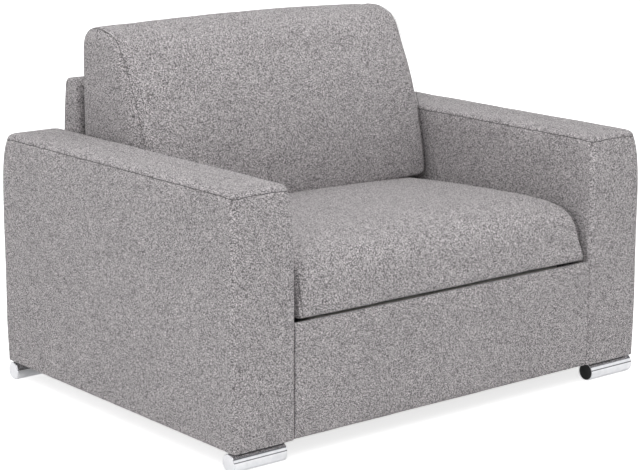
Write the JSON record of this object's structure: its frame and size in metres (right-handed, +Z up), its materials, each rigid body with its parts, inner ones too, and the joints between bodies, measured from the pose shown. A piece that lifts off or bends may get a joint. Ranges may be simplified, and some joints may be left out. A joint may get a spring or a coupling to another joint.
{
  "type": "convertible chair bed",
  "caption": "Box-arm upholstered chair on short cylindrical metal feet; its seat and back turn over forward to make a single bed",
  "frame": {"origin": "on the floor, in the middle of the closed chair's width and depth", "axes": "+X to the right side of the picture's chair (its left arm for a sitter), -Y out of the front, +Z up"},
  "size_m": [1.25, 0.948, 0.883],
  "materials": {
    "upholstery": "light grey flecked flat weave",
    "mattress_cloth": "off-white ticking",
    "board": "raw board",
    "slat_wood": "clear-coated beech",
    "bright_tube": "polished",
    "black_plastic": "matte",
    "frame_paint": "satin dark grey",
    "pin_steel": "zinc plated",
    "glide_rubber": "moulded"
  },
  "bodies": {
    "chair": {"arm_core_r": "board", "arm_core_l": "board", "arm_cover_r": "upholstery", "arm_cover_l": "upholstery", "arm_top_r": "upholstery", "arm_top_l": "upholstery", "foot_tube_fr": "bright_tube", "foot_tube_fl": "bright_tube", "foot_tube_rr": "bright_tube", "foot_tube_rl": "bright_tube", "foot_cap_fr": "bright_tube", "foot_cap_fl": "bright_tube", "foot_cap_rr": "bright_tube", "foot_cap_rl": "bright_tube", "foot_saddles": "black_plastic", "foot_plugs": "black_plastic", "front_board": "board", "front_panel": "upholstery", "rear_panel_cover": "upholstery", "rear_panel_core": "board", "floor_beams": "frame_paint", "side_plate_r": "frame_paint", "side_plate_l": "frame_paint", "root_pins": "pin_steel"},
    "front_links": {"front_link_r": "frame_paint", "front_link_l": "frame_paint", "front_shaft": "pin_steel"},
    "rear_links": {"rear_link_r": "frame_paint", "rear_link_l": "frame_paint", "rear_shaft": "pin_steel"},
    "head_section": {"head_rails": "frame_paint", "head_bars": "frame_paint", "head_slats": "slat_wood", "head_mattress": "mattress_cloth", "head_ears": "frame_paint", "fold_pins": "pin_steel"},
    "seat_section": {"seat_rails": "frame_paint", "seat_bars": "frame_paint", "seat_slats": "slat_wood", "seat_mattress": "mattress_cloth", "seat_ears": "frame_paint", "seat_knuckles": "frame_paint", "back_pins": "pin_steel", "seat_deck": "board", "seat_cushion": "upholstery"},
    "back_section": {"back_rails": "frame_paint", "back_bars": "frame_paint", "back_slats": "slat_wood", "back_mattress": "mattress_cloth", "back_knuckles": "frame_paint", "back_cushion": "upholstery", "back_cap": "upholstery", "back_wing_r": "upholstery", "back_wing_l": "upholstery", "rear_flap": "upholstery"},
    "foot_legs": {"foot_leg_r": "pin_steel", "foot_leg_l": "pin_steel", "leg_shaft": "pin_steel", "leg_glides": "glide_rubber"}
  },
  "joints": [
    {"name": "bed_fold", "type": "hinge", "parent": "head_section", "child": "seat_section", "pos_m": [0, -0.426, 0.2075], "axis": [1, 0, 0], "range_deg": [0, 180]},
    {"name": "front_link_swing", "type": "hinge", "parent": "chair", "child": "front_links", "pos_m": [0, -0.297, 0.17768], "axis": [1, 0, 0], "range_deg": [0, 127.1]},
    {"name": "rear_link_swing", "type": "hinge", "parent": "chair", "child": "rear_links", "pos_m": [0, 0.103, 0.17768], "axis": [1, 0, 0], "range_deg": [0, 127.1]},
    {"name": "head_carry", "type": "hinge", "parent": "front_links", "child": "head_section", "pos_m": [0, -0.17353, 0.0925], "axis": [1, 0, 0], "range_deg": [-127.1, 0]},
    {"name": "back_unfold", "type": "hinge", "parent": "seat_section", "child": "back_section", "pos_m": [0, 0.256, 0.31], "axis": [1, 0, 0], "range_deg": [-90, 0]},
    {"name": "leg_swing", "type": "hinge", "parent": "back_section", "child": "foot_legs", "pos_m": [0, 0.2435, 0.52], "axis": [1, 0, 0], "range_deg": [-90, 0]}
  ],
  "couplings": [
    {"joint": "front_link_swing", "follows": "bed_fold", "ratio": 0.70611},
    {"joint": "rear_link_swing", "follows": "bed_fold", "ratio": 0.70611},
    {"joint": "head_carry", "follows": "bed_fold", "ratio": -0.70611},
    {"joint": "back_unfold", "follows": "bed_fold", "ratio": -0.5},
    {"joint": "leg_swing", "follows": "bed_fold", "ratio": -0.5}
  ]
}
